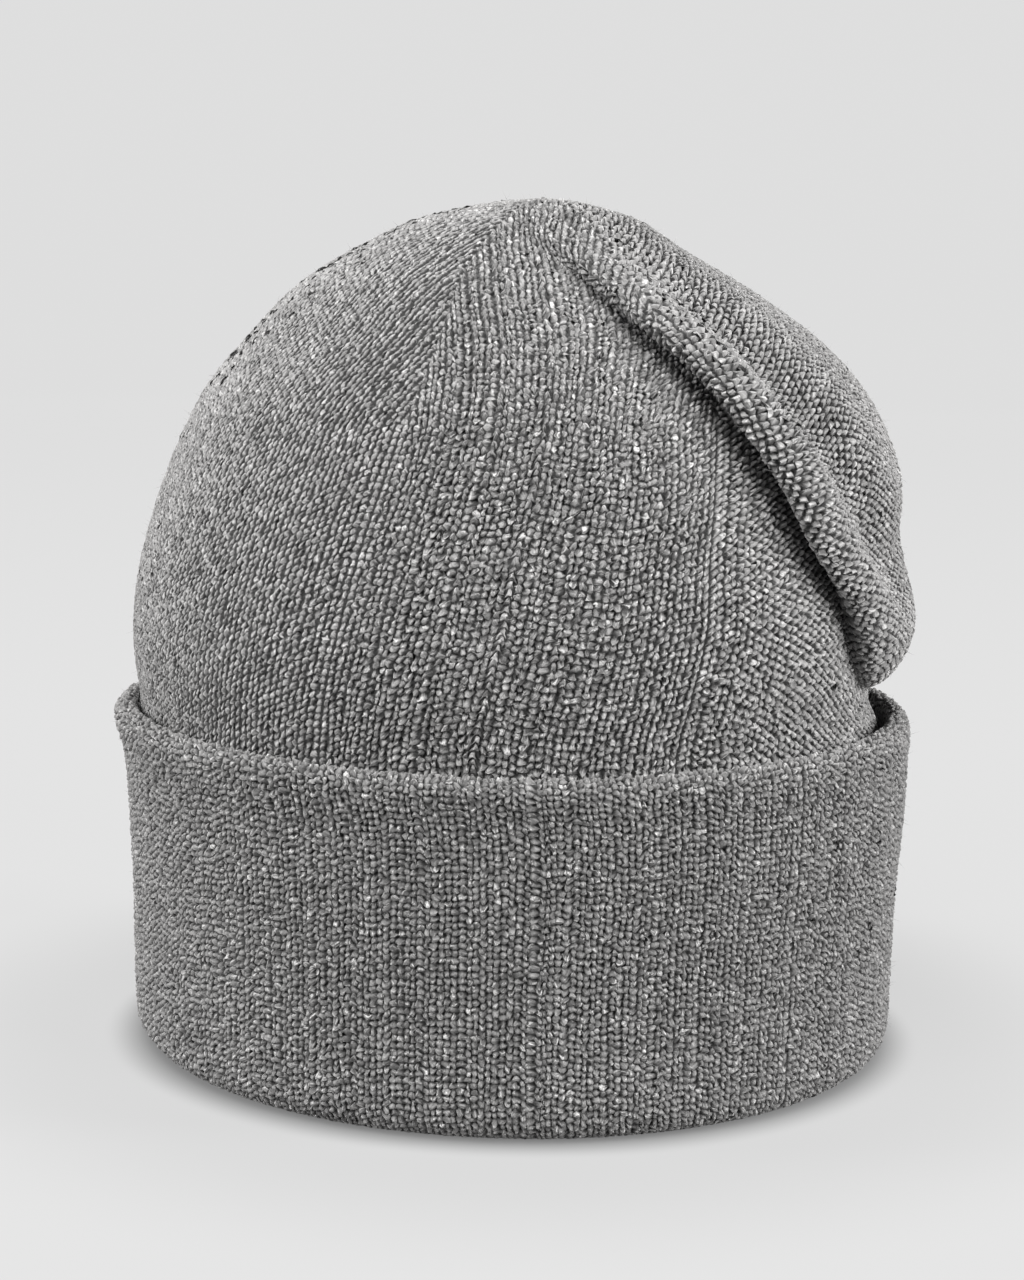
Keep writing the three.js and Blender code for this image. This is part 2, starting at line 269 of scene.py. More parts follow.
# At the sides the stitches are flatter and more even than in front
ROPE_ROUGH = 0.85
GRAIN_ROUGH = 0.75
CUFF_ROUGH = 0.8
ROPE_RELIEF = 0.5
CUFF_SIDE_RELIEF = 0.9
LOBE_RELIEF = ((-42, -12), (1.05, 0.65))

# Yarn colours, linear: its darkest and lightest fibres, the painted shade in its gaps, and its pale
# flecks, which are partly pale fibres and partly painted highlights
YARN_DARK = (0.03, 0.0293, 0.029)
YARN_LIGHT = (0.178, 0.175, 0.173)
GAP_PAINTED_SHADE = (0.006, 0.0058, 0.0057)
PALE_FLECK_AND_HIGHLIGHT = (0.38, 0.375, 0.371)

# Noises: how many of their forms go into a metre, or for the strands how many between two of
# them, then detail and roughness
HAIR_NOISE = (3600.0, 3.0, 0.75)
CLOUD_NOISE = (38.0, 3.0, 0.55)
PLY_NOISE = (1.0, 2.0, 0.6)

# Relief finer than the mesh: its depth in metres, and the shares of gap, strands and hairs
FINE_RELIEF = 0.00025
FINE_GAP, FINE_PLY, FINE_HAIR = 0.8, 1.5, 0.4

# How far the stitches' edges wander: scale of the noise, and its strength in front and at the sides
STIRS = ((1.6, 0.6, 0.15), (5.0, 0.2, 0.1))

# Painted shade in the gaps: how dark it is, which part of a gap has it, and how much each side or end
# has of it
GAP_SHADE_SHARE = 0.92
GAP_RAMP = (0.1, 0.8)
GAP_LOTS = (0.3, 0.85)

# Strands: their number across and along a stitch, and how much the slant, in radians, and the
# bow of one stitch's differ from another's
PLY_ACROSS, PLY_ALONG = 4.4, 1.2
PLY_SLANT, PLY_BOW = 2.6, 4
PLY_APART = 57.0

# What makes the yarn lighter or darker: the stitch's own tone, its strands and hairs, a painted
# highlight on its crest with painted shade towards its edges, and the clouds over the knit.
# Each ramp goes from two values of a noise or place to two of colour.
TONE_SHARE, TONE_BASE = 0.3, 0.21
PLY_RAMP = (0.33, 0.67, -0.29, 0.29)
# Painted highlight on a stitch's crest and painted shade towards its edges
CREST_PAINTED_LIGHT_RAMP = (0.0, 1.0, 0.23, -0.3)
CREST_ENDS, CREST_FRONT = 0.6, 0.6
HAIR_RAMP = (0.3, 0.7, -0.2, 0.22)
CLOUD_RAMP = (0.35, 0.65, -0.04, 0.04)

# Pale flecks, partly pale fibres and partly painted highlights, lie where a strand, the stitch's own
# lot and a hair are all high
FLECK_PLY, FLECK_LOT, FLECK_HAIR = (0.54, 0.64), (0.2, 0.85), (0.36, 0.54)
FLECK_SHARE = 0.8

# Strength of the strands and flecks, and of the hairs, at the sides
SIDE_PLAIN, SIDE_HAIRS = 0.75, 0.7

# How far a stitch narrows to its top, how far stitches side by side touch at their ends, and
# how light the yarn is. Crown and cuff are the same yarn: its lighter copy on the crown and its darker
# copy on the cuff are painted light and shade, set to their brightness under the lamps.
CROWN_YARN = (0.12, 0.75, 1.25)
CUFF_YARN = (0.0, 0.0, 0.93)

# Backdrop in metres: distance from the middle and height of a wide pale floor that turns up
# far away, the same on all sides
FLOOR_PROFILE = np.array([
    (0, 0), (2.2, 0), (3.0, 0.02), (3.8, 0.2), (4.6, 0.8), (5.0, 1.8), (5.1, 3.2),
], float)
FLOOR_RINGS = 36
FLOOR_COLUMNS = 64
FLOOR_GREY = (0.027, 0.027, 0.027, 1)

# The floor's own light by distance from the middle: near, a little more far away, where less of
# the lamps' light falls, and a painted soft shadow where the round foot of the hat comes down to it
NEAR_GLOW = (0.105, 0.17, 0.612, 0.683)
FAR_GLOW = (1.5, 4.6, 0.0, 0.025)
FOOT_PAINTED_SHADOW = (0.086, 0.1, 0.3, 1.0)

# Lamps: name, place, size and power
LIGHTS = (
    ("key", (-0.3, -1.2, 2.0), 1.2, 88),
    ("left", (-2.1, 0.0, 0.85), 0.6, 49),
    ("right", (2.1, -0.3, 1.0), 0.6, 66),
    ("front_left", (-1.6, -1.5, 0.9), 0.8, 55),
    ("front_right", (1.6, -1.5, 0.8), 0.8, 58),
)
LAMP_AIM = (0, 0, 0.1)
WORLD_GLOW = 0.03

# Camera at the photograph's angle: a long lens just above the hat, tipped down and hardly
# turned. Its focal length is in sizes of the photograph's height.
FOCAL_SHARE = 2600 / 1280
FILM_HEIGHT = 36
CAMERA_PLACE = (-0.0016, -0.62325, 0.187)
CAMERA_TIP, CAMERA_TURN = 0.1459, 0.0188


# Smooth values between the rows of a table, on a cubic curve through each column
def blend_rows(rows, at):
    at = np.asarray(at, float)
    first = np.clip(np.floor(at).astype(int), 0, len(rows) - 2)
    u = (at - first)[..., None]
    b = rows[first]
    c = rows[first + 1]
    a = np.where((first > 0)[..., None], rows[np.maximum(first - 1, 0)], 2 * b - c)
    last = (first + 2 < len(rows))[..., None]
    d = np.where(last, rows[np.minimum(first + 2, len(rows) - 1)], 2 * c - b)
    bend = (2 * a - 5 * b + 4 * c - d) * u ** 2
    twist = (3 * b - 3 * c + d - a) * u ** 3
    return 0.5 * (2 * b + (c - a) * u + bend + twist)


# Points of level sections, each an oval through its four reaches
def section_points(section, azimuth):
    height, left, right, front, back = np.moveaxis(section, -1, 0)
    x = (right - left) / 2 + (right + left) / 2 * np.cos(azimuth)
    y = (back - front) / 2 + (back + front) / 2 * np.sin(azimuth)
    return np.stack(np.broadcast_arrays(x, y, height), -1)


def inside_cuff(height, inset):
    reach = [np.interp(height, CUFF_OUTSIDE[:, 0], CUFF_OUTSIDE[:, k]) - inset for k in range(1, 5)]
    return (height, *reach)


def beyond_top():
    height, left, right, front, back = CROWN_FREE[-2]
    return (height, -right, -left, -back, -front)


CROWN_SECTIONS = np.array([
    *[inside_cuff(height, CUFF_WALL + SEAT_GAP) for height in CROWN_HELD_AT],
    *CROWN_FREE,
    beyond_top(),
])
TOP_LEVEL = len(CROWN_SECTIONS) - 2


def unit(vectors):
    return vectors / np.maximum(np.linalg.norm(vectors, axis=-1, keepdims=True), 1e-9)


def dome_points(azimuth, level):
    return section_points(blend_rows(CROWN_SECTIONS, level), azimuth)


def dome_normals(azimuth, level):
    step = 1e-3
    at = np.minimum(level, TOP_LEVEL - 20 * step)
    around = dome_points(azimuth + step, at) - dome_points(azimuth - step, at)
    up = dome_points(azimuth, at + step) - dome_points(azimuth, at - step)
    return unit(np.cross(around, up))


LEVELS = np.linspace(0, TOP_LEVEL, LEVEL_STEPS)
LEVEL_HEIGHTS = blend_rows(CROWN_SECTIONS, LEVELS)[:, 0]


def level_at(height):
    return np.interp(height, LEVEL_HEIGHTS, LEVELS)


# Points along the crease, the direction across it, and its sizes there
def fold_line():
    sizes = blend_rows(FOLD, np.linspace(0, len(FOLD) - 1, FOLD_STEPS))
    azimuth = sizes[:, 0] * DEGREE
    level = level_at(sizes[:, 1])
    points = dome_points(azimuth, level)
    across = unit(np.cross(dome_normals(azimuth, level), np.gradient(points, axis=0)))
    return points, across, sizes[:, 2:]


FOLD_POINTS, FOLD_ACROSS, FOLD_SIZES = fold_line()


# Distance from the crease, direction across it and its sizes, at points of the dome
def fold_at(points):
    distance = np.empty(len(points))
    across = np.empty((len(points), 3))
    sizes = np.empty((len(points), FOLD_SIZES.shape[1]))
    for start in range(0, len(points), FOLD_CHUNK):
        part = slice(start, start + FOLD_CHUNK)
        away = points[part, None] - FOLD_POINTS
        squares = (away ** 2).sum(-1)
        nearest = squares.min(1, keepdims=True)
        weight = np.exp((nearest - squares) / (2 * FOLD_BLEND ** 2))
        weight /= weight.sum(1, keepdims=True)
        distance[part] = (weight * (away * FOLD_ACROSS).sum(-1)).sum(1)
        across[part] = weight @ FOLD_ACROSS
        sizes[part] = weight @ FOLD_SIZES
    return distance, across, sizes.T


def bump(distance, centre, width):
    return np.exp(-(((distance - centre) / width) ** 2))


# The crown's outer surface without its stitches
def crown_points(azimuth, level):
    points = dome_points(azimuth, level)
    normals = dome_normals(azimuth, level)
    distance, across, (depth, lap, roll, valley, spread) = fold_at(points)
    spread_distance = distance / spread
    far = CREASE_FAR_WIDTH * spread
    rise = -depth * bump(distance, CREASE_AT, np.where(distance < CREASE_AT, lap, far))
    rise += roll * bump(spread_distance, ROLL_AT, ROLL_WIDTH)
    rise -= valley * bump(spread_distance, VALLEY_AT, VALLEY_WIDTH)
    rise += RIDGE_SHARE * valley * bump(spread_distance, RIDGE_AT, RIDGE_WIDTH)
    for at, height, radius, hollow in HOLLOWS:
        centre = dome_points(np.array(at * DEGREE), level_at(height))
        rise -= hollow * bump(np.linalg.norm(points - centre, axis=-1), 0, radius)
    far = np.where(distance < LEAN_AT, LEAN_WIDTH, LEAN_FAR_WIDTH)
    lean = -LEAN_SHARE * depth / spread ** 2 * bump(distance, LEAN_AT, far)
    far = np.where(distance < TUCK_AT, np.minimum(TUCK_WIDTH, lap), TUCK_FAR_WIDTH)
    lean += TUCK_SHARE * depth / spread ** 2 * bump(distance, TUCK_AT, far)
    across = unit(across - (across * normals).sum(-1, keepdims=True) * normals)
    return points + rise[:, None] * normals + lean[:, None] * across


# Triangles and quads from quads whose corners may coincide
def clean_faces(quads):
    keep = quads != np.roll(quads, -1, axis=1)
    sides = keep.sum(1)
    good = sides >= 3
    return quads[good][keep[good]], sides[good]


def vertex_normals(points, quads):
    a, b, c, d = (points[quads[:, k]] for k in range(4))
    face = np.cross(c - a, d - b)
    normals = np.zeros_like(points)
    for k in range(4):
        for axis in range(3):
            normals[:, axis] += np.bincount(quads[:, k], face[:, axis], len(points))
    return unit(normals)


# Smooth waves, seamless round the hat
def waver(azimuth, along, seed):
    rng = np.random.default_rng(seed)
    total = np.zeros(np.broadcast(azimuth, along).shape)
    for turns, rate in WAVES:
        for sign in (-1, 1):
            phase = rng.uniform(0, 2 * math.pi)
            total += np.sin(turns * azimuth + sign * rate * along + phase)
    return total / (2 * len(WAVES))


# Length along a path at each of its points
def path_lengths(points):
    return np.concatenate([[0], np.cumsum(np.linalg.norm(np.diff(points, axis=0), axis=1))])


def make_object(name, points, normals, quads, stitches, sheet, material):
    corners, sides = clean_faces(quads)
    used, corners = np.unique(corners, return_inverse=True)
    mesh = bpy.data.meshes.new(name)
    mesh.vertices.add(len(used))
    mesh.vertices.foreach_set("co", (points[used] * MM).astype(np.float32).ravel())
    mesh.loops.add(len(corners))
    mesh.loops.foreach_set("vertex_index", corners.astype(np.int32))
    mesh.polygons.add(len(sides))
    mesh.polygons.foreach_set("loop_start", (np.cumsum(sides) - sides).astype(np.int32))
    mesh.update(calc_edges=True)
    mesh.shade_smooth()
    mesh.normals_split_custom_set_from_vertices(normals[used])
    knit = mesh.attributes.new("knit", "FLOAT_VECTOR", "POINT")
    knit.data.foreach_set("vector", stitches[used].astype(np.float32).ravel())
    flat = sheet[used]
    flat = (flat - flat.min(0)) / (flat.max(0) - flat.min(0)).max() * 0.98 + 0.01
    layer = mesh.uv_layers.new(name="OFBake")
    layer.data.foreach_set("uv", flat[corners].astype(np.float32).ravel())
    mesh.materials.append(material)
    made = bpy.data.objects.new(name, mesh)
    bpy.context.scene.collection.objects.link(made)
    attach(made, "root")
    return made


# Where the cell corners of a knit lie, in stitches, and how high they stand.
# column and row count cells. Every second wale sits higher by twice the stagger, and the
# gaps between the wales run in a zigzag round its stitches. rough tells how uneven the
# stitches are, and wild how far whole wales are out of line.
def stitch_corners(column, row, shape, rough, wild, seed):
    across, up, height, stagger, zigzag = shape
    rng = np.random.default_rng(seed)
    wales = int(column.max()) // CELLS + 2
    courses = int(row.max()) // CELLS + 2
    wale, k = np.divmod(column, CELLS)
    course, m = np.divmod(row, CELLS)
    inside = (k > 0) & (m > 0)
    side = np.where(wale % 2 == 0, 1, -1)
    size = 1 + rough * (rng.uniform(*STITCH_SIZES, (wales, courses))[wale, course] - 1)
    drift = wild * rng.normal(0, WALE_DRIFT, wales)[wale]
    lean = wild * rng.normal(0, WALE_LEAN, wales)[wale]
    slide_x, slide_y, wander = rng.normal(0, STITCH_SLIDE, (3, wales, courses))[:, wale, course]
    notches = rng.uniform(-GAP_NOTCH, GAP_NOTCH, (2, wales, courses))
    course_notch, wale_notch = notches[:, wale, course]
    uneven = rng.normal(0, UNEVEN, (*column.shape, 3))
    uneven_x, uneven_y, uneven_z = uneven.transpose(2, 0, 1)
    x = wale + lean + across[m, k] + np.where(k == 0, side * np.array([0, zigzag, -zigzag])[m], 0)
    x = x + rough * (np.where(inside, slide_x, 0) + np.where(k == 0, wander, 0) + uneven_x)
    y = course + up[k, m] + np.where(k > 0, side * stagger + drift, 0)
    y = y + rough * (np.where(inside, slide_y, 0) + uneven_y)
    z = height[m, k] * np.where(inside, size, 1)
    z = z + rough * (np.where((m == 0) & (k > 0), course_notch, 0) + uneven_z)
    z = z + rough * np.where((m > 0) & (k == 0), wale_notch, 0)
    return x, y, z


# Levels of the crown's courses, which are evenly spaced up the cloth at every azimuth
def crown_courses():
    azimuths = np.linspace(0, 2 * math.pi, COURSE_AZIMUTHS, endpoint=False)
    levels = np.linspace(level_at(PANEL_FOOT), TOP_LEVEL - NEAR_TOP, COURSE_LEVELS)
    around, level = np.meshgrid(azimuths, levels, indexing="ij")
    points = crown_points(around.ravel(), level.ravel()).reshape(COURSE_AZIMUTHS, COURSE_LEVELS, 3)
    steps = np.linalg.norm(np.diff(points, axis=1), axis=2)
    length = np.concatenate([np.zeros((COURSE_AZIMUTHS, 1)), np.cumsum(steps, axis=1)], 1)
    courses = round(length[:, -1].mean() / CROWN_COURSE)
    share = np.arange(courses + 1) / courses
    table = np.array([np.interp(share * path[-1], path, levels) for path in length])
    for _ in range(COURSE_SMOOTHINGS):
        table = (np.roll(table, 1, 0) + 2 * table + np.roll(table, -1, 0)) / 4
    return courses, table


def look_up_level(table, azimuth, course):
    a = np.mod(azimuth / (2 * math.pi), 1) * COURSE_AZIMUTHS
    a0 = np.floor(a).astype(int)
    c0 = np.clip(np.floor(course).astype(int), 0, table.shape[1] - 2)
    s, t = a - a0, course - c0
    a0, a1 = a0 % COURSE_AZIMUTHS, (a0 + 1) % COURSE_AZIMUTHS
    low = table[a0, c0] * (1 - s) + table[a1, c0] * s
    high = table[a0, c0 + 1] * (1 - s) + table[a1, c0 + 1] * s
    return low * (1 - t) + high * t


# How far the wales look like ropes: not at all in front, and fully past a dart line
def rope_share(azimuth, course, courses):
    first, last = DARTS[0] * DEGREE, DARTS[1] * DEGREE
    from_front = np.abs(np.mod(azimuth - (first + last) / 2 + math.pi, 2 * math.pi) - math.pi)
    reach = (last - first) / 2
    soft = np.interp(course, [share * courses for share in SOFT_AT], SOFT_WIDTH)
    return np.clip((from_front - reach) / soft + 0.5, 0, 1)


# Share of a panel's wales that is left at each row of cells, and the crown's widest reach
def crown_room(rows, courses, table):
    reach = blend_rows(CROWN_SECTIONS, LEVELS)[:, 1:].mean(1)
    widest = reach.argmax()
    room = np.minimum(reach / reach[widest] / FIRST_DART_SHARE, 1)
    room[:widest] = 1
    row_level = np.interp(np.arange(rows + 1) / CELLS, np.arange(courses + 1), table.mean(0))
    room = np.interp(row_level, LEVELS, room)
    room[-1] = 0
    return room, reach[widest]


# Where the cell corners of one panel lie, from the middle of the panel, and how high they stand
def panel_corners(panel, column, row, wales, half, nominal, azimuth, rope):
    grains = panel in GRAIN_PANELS
    rough = 1 - (1 - (GRAIN_ROUGH if grains else ROPE_ROUGH)) * rope
    seed = CROWN_SEED + panel
    x, y, z = stitch_corners(column, row, BRICK_SHAPE, rough, 1 - rope, seed)
    shape = GRAIN_SHAPE if grains else ROPE_SHAPE
    side_x, side_y, side_z = stitch_corners(column, row, shape, rough, 1 - rope, seed)
    x = x + rope * (side_x - x) - wales / 2
    y = y + rope * (side_y - y)
    relief = np.interp(azimuth / DEGREE, *LOBE_RELIEF) if grains else ROPE_RELIEF
    z = z + rope * (side_z * relief - z)
    # Next to a dart line the stitches lie evenly, so that they don't lap over it
    from_dart = half - np.abs(nominal)
    edge = np.clip(from_dart / DART_EVEN, 0, 1)
    x = nominal + edge * (x - nominal)
    y = row / CELLS + edge * (y - row / CELLS)
    return x, y, z * np.clip(from_dart / DART_LOW, DART_LEAST, 1)


# The whole net of the crown's outside: azimuth, course and relief of each corner, and a grid
# for each panel with its corners' numbers, wales, courses and side shares. Corners on the dart
# lines and the one at the top are shared by the panels beside them.
def crown_net(courses, table):
    rows = courses * CELLS
    room, reach = crown_room(rows, courses, table)
    panels = len(DARTS) - 1
    turns = np.diff(DARTS) * DEGREE
    apex = panels * rows
    count = apex + 1
    azimuths = [np.repeat(np.array(DARTS[:-1]) * DEGREE, rows), [0]]
    places = [np.tile(np.arange(rows) / CELLS, panels), [courses]]
    reliefs = [np.repeat(DART_HEIGHT, rows), [TOP_HEIGHT]]
    grids = []
    for panel in range(panels):
        wales = 2 * round(turns[panel] * reach / PANEL_WALES[panel] / 2)
        r, c = np.meshgrid(np.arange(rows + 1), np.arange(wales * CELLS + 1), indexing="ij")
        nominal = c / CELLS - wales / 2
        half = wales * room[r] / 2
        middle = DARTS[panel] * DEGREE + turns[panel] / 2
        spread = turns[panel] / np.maximum(2 * half, 1e-6)
        around = middle + nominal * spread
        rope = rope_share(around, r / CELLS, courses)
        x, y, z = panel_corners(panel, c, r, wales, half, nominal, around, rope)
        own = np.abs(nominal) < half - DART_GAP
        index = np.full(own.shape, -1)
        index[own] = count + np.arange(own.sum())
        count += own.sum()
        on_dart = np.where(nominal < 0, panel, (panel + 1) % panels) * rows + np.minimum(r, rows - 1)
        index = np.where(own, index, on_dart)
        index[-1] = apex
        azimuths.append((middle + x * spread)[own])
        places.append(y[own])
        reliefs.append(z[own])
        wale = np.clip(nominal, -half, half) + PANEL_APART * panel + PANEL_APART / 2
        shown = rope * (GRAIN_SHOWN if panel in GRAIN_PANELS else 1)
        grids.append((index, wale, r / CELLS, shown))
    return np.concatenate(azimuths), np.concatenate(places), np.concatenate(reliefs), grids


# The crown's outside with its stitches: points, normals, each panel's quads, and its grid
def crown_surface():
    courses, table = crown_courses()
    azimuth, course, relief, grids = crown_net(courses, table)
    sway, climb, swell = CROWN_WAVER
    sway_seed, climb_seed, swell_seed = CROWN_WAVER_SEEDS
    fade = np.clip((courses - course) / CROWN_FADE, 0, 1)
    azimuth = azimuth + sway * waver(azimuth, course, sway_seed) * fade
    away = np.mod(azimuth / DEGREE - SWING_AZIMUTH + 180, 360) - 180
    azimuth = azimuth - SWING * DEGREE * bump(away, 0, SWING_WIDTH) * (1 - course / courses)
    course = np.clip(course + climb * waver(azimuth, course, climb_seed) * fade, 0, courses)
    points = crown_points(azimuth, look_up_level(table, azimuth, course))
    quads = [np.stack([i[:-1, :-1], i[:-1, 1:], i[1:, 1:], i[1:, :-1]], -1).reshape(-1, 4)
             for i, *_ in grids]
    every = np.concatenate(quads)
    normals = vertex_normals(points, every)
    held = np.clip((points[:, 2] - HELD_FROM) / HELD_OVER, HELD_RELIEF, 1)
    rise = CROWN_RELIEF * held * (relief - RELIEF_LEVEL)
    rise = rise + swell * waver(azimuth, course, swell_seed) * fade
    points = points + rise[:, None] * normals
    return points, vertex_normals(points, every), quads, grids


def make_crown(material):
    points, normals, quads, grids = crown_surface()
    for panel, (index, wale, place, rope) in enumerate(grids):
        stitches = np.zeros((len(points), 3))
        stitches[index.ravel()] = np.stack([wale, place, rope], -1).reshape(-1, 3)
        flat = stitches[:, :2] * (CROWN_WALE, CROWN_COURSE)
        made = make_object(f"crown_panel_{panel + 1}", points, normals, quads[panel],
                           stitches, flat, material)
        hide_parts("crown")
    shown = points[:, 2] > CUFF_OUTSIDE[-1, 0]
    make_fuzz("crown_fuzz", points[shown], normals[shown], CROWN_FUZZ, CROWN_FUZZ_SEED,
              material, "crown")


# Loose fibres of the yarn: thin three-sided spikes that stand out a little from the knit
def make_fuzz(name, points, normals, count, seed, material, replaced):
    rng = np.random.default_rng(seed)
    root = rng.integers(0, len(points), count)
    out = normals[root]
    aside = unit(np.cross(out, rng.normal(size=(count, 3))))
    lift = rng.uniform(*FUZZ_LIFT, (count, 1))
    along = np.cos(lift) * aside + np.sin(lift) * out
    base = points[root] - FUZZ_SINK * out
    level = unit(np.cross(along, out))
    upright = np.cross(level, along)
    corners = [base + FUZZ_RADIUS * (math.cos(turn) * level + math.sin(turn) * upright)
               for turn in (0, 2 * math.pi / 3, 4 * math.pi / 3)]
    tip = base + along * rng.uniform(*FUZZ_LENGTH, (count, 1))
    spikes = np.stack([*corners, tip], 1).reshape(-1, 3)
    faces = np.array([(0, 2, 1, 1), (0, 1, 3, 3), (1, 2, 3, 3), (2, 0, 3, 3)])
    quads = (faces + 4 * np.arange(count)[:, None, None]).reshape(-1, 4)
    number = np.arange(count)[:, None]
    columns = math.ceil(math.sqrt(count))
    spot = np.array([(0, 0), (0.4, 0), (0.8, 0), (0.4, 0.8)])
    flat = np.stack([number % columns + spot[:, 0], number // columns + spot[:, 1]], -1).reshape(-1, 2)
    stitches = np.repeat(np.hstack([number + 0.5, 0 * number + 0.5, 0 * number + 1]), 4, 0)
    spike_normals = vertex_normals(spikes, quads)
    made = make_object(name, spikes, spike_normals, quads, stitches, flat, material)
    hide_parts(replaced)


def ring_quads(rows, columns):
    r, c = np.meshgrid(np.arange(rows - 1), np.arange(columns), indexing="ij")
    right = (c + 1) % columns
    return np.stack([r * columns + c, r * columns + right, (r + 1) * columns + right,
                     (r + 1) * columns + c], -1).reshape(-1, 4)


def cuff_lift(points, azimuth):
    lift = SIDE_LIFT * np.cos(azimuth) ** 2 + BACK_LIFT * np.maximum(np.sin(azimuth), 0) ** 2
    lifted = points.copy()
    lifted[..., 2] += lift * (points[..., 2] / CUFF_OUTSIDE[-1, 0]) ** 2
    return lifted


# The cuff's outside with its stitches: points, normals, quads by row and column, and how much
# each corner lies in front
def cuff_surface():
    sections = np.concatenate([CUFF_OUTSIDE, CUFF_EDGE_INSIDE])
    levels = np.linspace(0, len(sections) - 1, CUFF_LEVELS)
    path = section_points(blend_rows(sections, levels), np.full(CUFF_LEVELS, -math.pi / 2))
    length = path_lengths(path)
    courses = round(length[-1] / CUFF_COURSE)
    wales = 4 * round(2 * math.pi * CUFF_RADIUS / CUFF_WALE / 4)
    r, c = np.meshgrid(np.arange(courses * CELLS + 1), np.arange(wales * CELLS), indexing="ij")
    front = np.maximum(np.cos((c / CELLS / wales - 0.5) * 2 * math.pi), 0) ** 2
    rough = CUFF_ROUGH + (1 - CUFF_ROUGH) * front
    x, y, z = stitch_corners(c, r, CUFF_SHAPE, rough, rough, CUFF_SEED)
    z = z * (CUFF_SIDE_RELIEF + (1 - CUFF_SIDE_RELIEF) * front)
    azimuth = -math.pi / 2 + (x / wales - 0.5) * 2 * math.pi
    azimuth = azimuth - CUFF_STRETCH * np.sin(azimuth + math.pi / 2)
    sway, climb, swell = CUFF_WAVER
    sway_seed, climb_seed, swell_seed = CUFF_WAVER_SEEDS
    azimuth = azimuth + sway * waver(azimuth, y, sway_seed)
    course = np.clip(y + climb * waver(azimuth, y, climb_seed), 0, courses)
    level = np.interp(course * length[-1] / courses, length, levels)
    points = cuff_lift(section_points(blend_rows(sections, level), azimuth), azimuth).reshape(-1, 3)
    quads = ring_quads(courses * CELLS + 1, wales * CELLS)
    normals = vertex_normals(points, quads)
    height = points[:, 2]
    flat_share = np.clip(height / CUFF_FLAT_TO, 0, 1)
    calm = np.clip(height / CUFF_CALM_TO, 0, 1)
    soft = swell * waver(azimuth, y, swell_seed).ravel() * calm
    end = np.clip((courses - course.ravel()) / CUFF_END, 0, 1)
    rise = (CUFF_RELIEF * (z.ravel() - RELIEF_LEVEL) * flat_share + soft) * end
    points = points + rise[:, None] * normals
    points[:, 2] = np.maximum(points[:, 2], 0)
    normals = vertex_normals(points, quads)
    return points, normals, quads.reshape(courses * CELLS, wales * CELLS, 4), front


def make_cuff(material):
    points, normals, quads, front = cuff_surface()
    rows, columns = quads.shape[:2]
    row = np.arange(rows + 1)[:, None]
    quarter = columns // 4
    for q in range(4):
        column = np.arange(q * quarter, (q + 1) * quarter + 1)
        index = row * columns + column % columns
        stitches = np.zeros((len(points), 3))
        stitches[index, 0] = column / CELLS + CUFF_APART
        stitches[index, 1] = row / CELLS
        stitches[index, 2] = 1 - front[:, column % columns]
        flat = stitches[:, :2] * (CUFF_WALE, CUFF_COURSE)
        made = make_object(f"cuff_quarter_{q + 1}", points, normals,
                           quads[:, q * quarter:(q + 1) * quarter].reshape(-1, 4),
                           stitches, flat, material)
        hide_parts("cuff")
    shown = points[:, 2] > CUFF_FLAT_TO
    make_fuzz("cuff_fuzz", points[shown], normals[shown], CUFF_FUZZ, CUFF_FUZZ_SEED,
              material, "cuff")


# A coarse ring-shaped skin with its seam opened, so that its stitches can be counted round it
def make_skin(name, rings, path, flip, material, replaced):
    count, columns = rings.shape[:2]
    quads = ring_quads(count, columns)
    normals = vertex_normals(rings.reshape(-1, 3), quads).reshape(count, columns, 3)
    closed = np.arange(columns + 1) % columns
    points = rings[:, closed].reshape(-1, 3)
    normals = normals[:, closed].reshape(-1, 3)
    r, c = np.meshgrid(np.arange(count - 1), np.arange(columns), indexing="ij")
    a = r * (columns + 1) + c
    quads = np.stack([a, a + 1, a + columns + 2, a + columns + 1], -1).reshape(-1, 4)
    if flip:
        quads = quads[:, ::-1]
        normals = -normals
    wide = np.arange(columns + 1) / columns * SKIN_ROUND
    flat = np.stack(np.broadcast_arrays(wide, path[:, None]), -1).reshape(-1, 2)
    stitches = np.concatenate([flat / (CROWN_WALE, CROWN_COURSE), np.zeros((len(flat), 1))], 1)
    made = make_object(name, points, normals, quads, stitches, flat, material)
    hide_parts(replaced)


# Inner side of the crown, its lower edge, and what the cuff covers of its outside
def make_crown_inside(material):
    columns = CROWN_SKIN_COLUMNS
    azimuth = np.linspace(0, 2 * math.pi, columns, endpoint=False)
    covered = np.linspace(0, level_at(PANEL_FOOT + COVERED_PAST), COVERED_ROWS)
    rest = np.linspace(covered[-1], TOP_LEVEL - INNER_TOP, INNER_ROWS)[1:]
    levels = np.concatenate([covered, rest])
    level, around = np.meshgrid(levels, azimuth, indexing="ij")
    outside = crown_points(around.ravel(), level.ravel())
    normals = vertex_normals(outside, ring_quads(len(levels), columns))
    normals[:columns, 2] = 0
    inner = (outside - CROWN_WALL * unit(normals)).reshape(len(levels), columns, 3)
    outside = outside.reshape(len(levels), columns, 3)
    rings = np.concatenate([outside[:COVERED_ROWS][::-1], inner])
    path = path_lengths(rings[:, 0])
    make_skin("crown_inside", rings, path, True, material, "crown")


